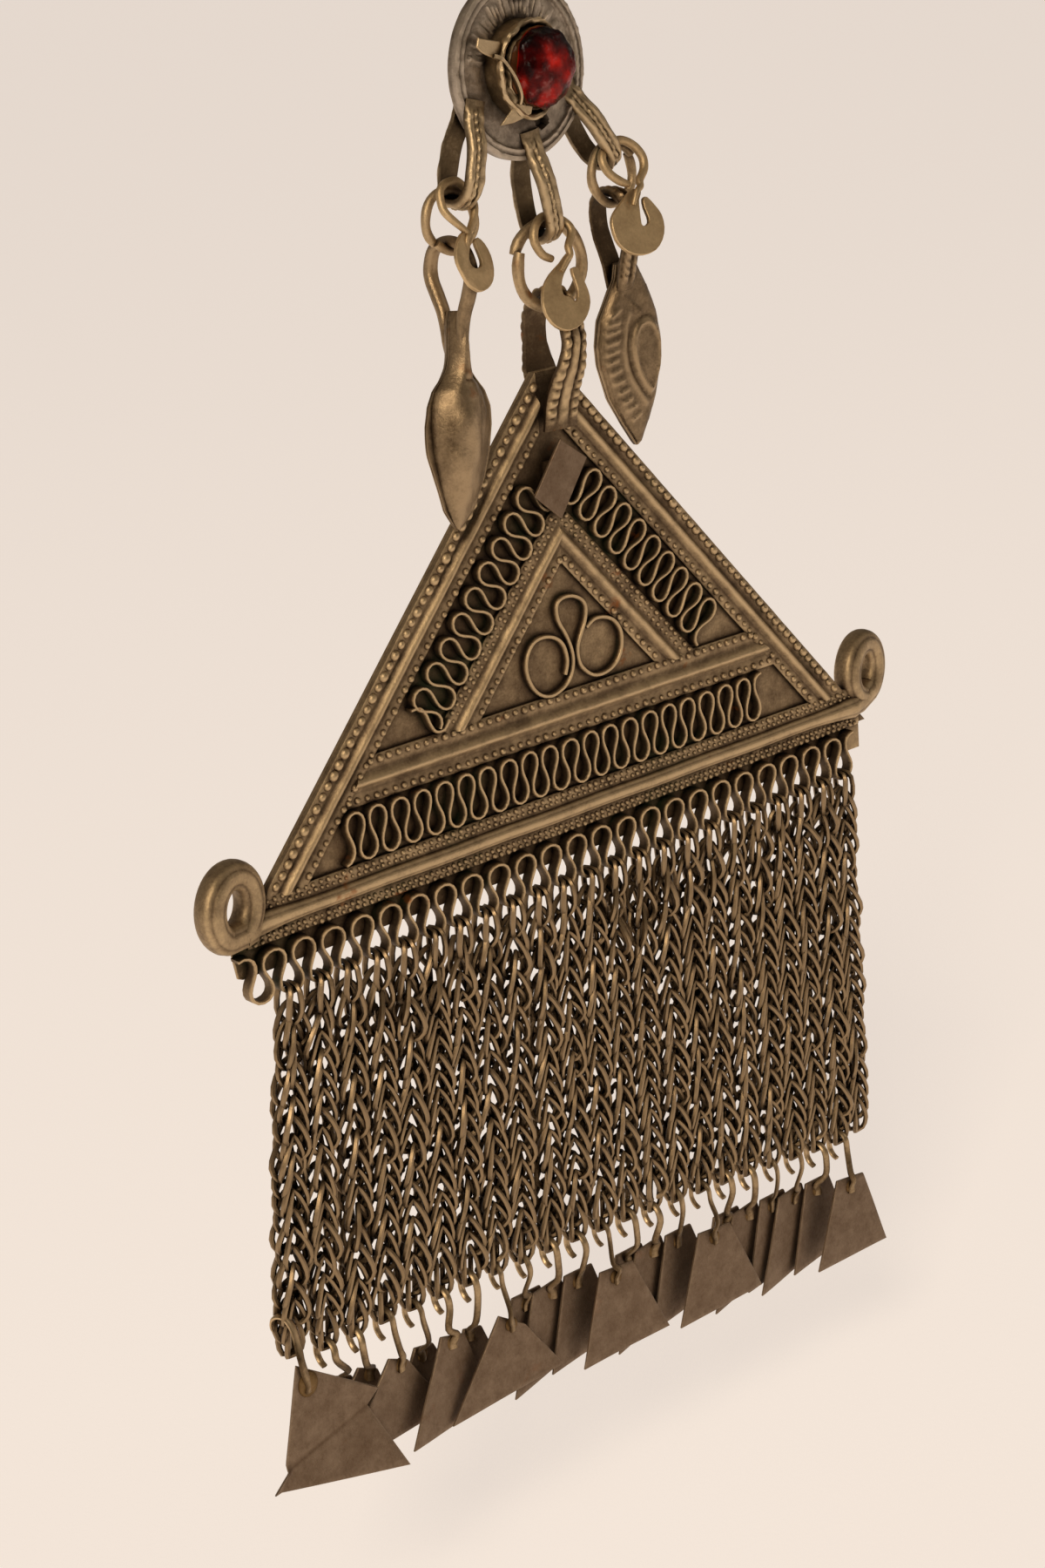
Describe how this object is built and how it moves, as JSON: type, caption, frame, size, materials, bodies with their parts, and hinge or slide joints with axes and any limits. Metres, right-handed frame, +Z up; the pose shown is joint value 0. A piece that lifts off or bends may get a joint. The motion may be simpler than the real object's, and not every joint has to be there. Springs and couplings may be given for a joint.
{
  "type": "tribal necklace",
  "caption": "Antique brass tribal necklace: a red stone medallion over a filigree triangle amulet with a fringe of foxtail chains and flat drops.",
  "frame": {"origin": "middle of the clasp, where the neck chain lies on the nape of the neck", "axes": "+Z up, -Y to the wearer's front, +X to the right as the picture's viewer sees it"},
  "size_m": [0.138, 0.1289, 0.3925],
  "materials": {
    "aged_metal": "satin, tarnished in the recesses",
    "dark_metal": "satin, dark patina",
    "yellow_metal": "satin, rubbed bright",
    "red_glass": "rough, broken faces"
  },
  "bodies": {
    "neck_chain": {"neck_chain_left": "aged_metal", "neck_chain_right": "aged_metal", "clasp": "aged_metal", "top_ring": "aged_metal"},
    "medallion": {"medallion": "dark_metal", "stone": "red_glass", "jump_ring_left": "aged_metal", "centre_ring": "aged_metal", "jump_ring_right": "aged_metal", "s_hook_left": "yellow_metal", "s_hook_centre": "yellow_metal", "s_hook_right": "yellow_metal", "leaf_left": "aged_metal", "leaf_right": "aged_metal"},
    "amulet": {"amulet_plate": "aged_metal", "chain_01": "aged_metal", "chain_02": "aged_metal", "chain_03": "aged_metal", "chain_04": "aged_metal", "chain_05": "aged_metal", "chain_06": "aged_metal", "chain_07": "aged_metal", "chain_08": "aged_metal", "chain_09": "aged_metal", "chain_10": "aged_metal", "chain_11": "aged_metal", "chain_12": "aged_metal", "chain_13": "aged_metal", "chain_14": "aged_metal", "chain_15": "aged_metal", "chain_16": "aged_metal", "chain_17": "aged_metal", "chain_18": "aged_metal", "chain_19": "aged_metal", "chain_20": "aged_metal", "chain_21": "aged_metal", "chain_22": "aged_metal", "chain_23": "aged_metal", "drop_01": "dark_metal", "drop_02": "dark_metal", "drop_03": "dark_metal", "drop_04": "dark_metal", "drop_05": "dark_metal", "drop_06": "dark_metal", "drop_07": "dark_metal", "drop_08": "dark_metal", "drop_09": "dark_metal", "drop_10": "dark_metal", "drop_11": "dark_metal", "drop_12": "dark_metal", "drop_13": "dark_metal", "drop_14": "dark_metal", "drop_15": "dark_metal", "drop_16": "dark_metal", "drop_17": "dark_metal", "drop_18": "dark_metal", "drop_19": "dark_metal", "drop_20": "dark_metal", "drop_21": "dark_metal", "drop_22": "dark_metal"}
  },
  "joints": [
    {"name": "pendant_swing", "type": "hinge", "parent": "neck_chain", "child": "medallion", "pos_m": [-0.0011, -0.12, -0.1954], "axis": [1, 0, 0], "range_deg": [-35, 35]},
    {"name": "amulet_swing", "type": "hinge", "parent": "medallion", "child": "amulet", "pos_m": [0.0023, -0.1196, -0.2415], "axis": [1, 0, 0], "range_deg": [-10, 30]}
  ]
}
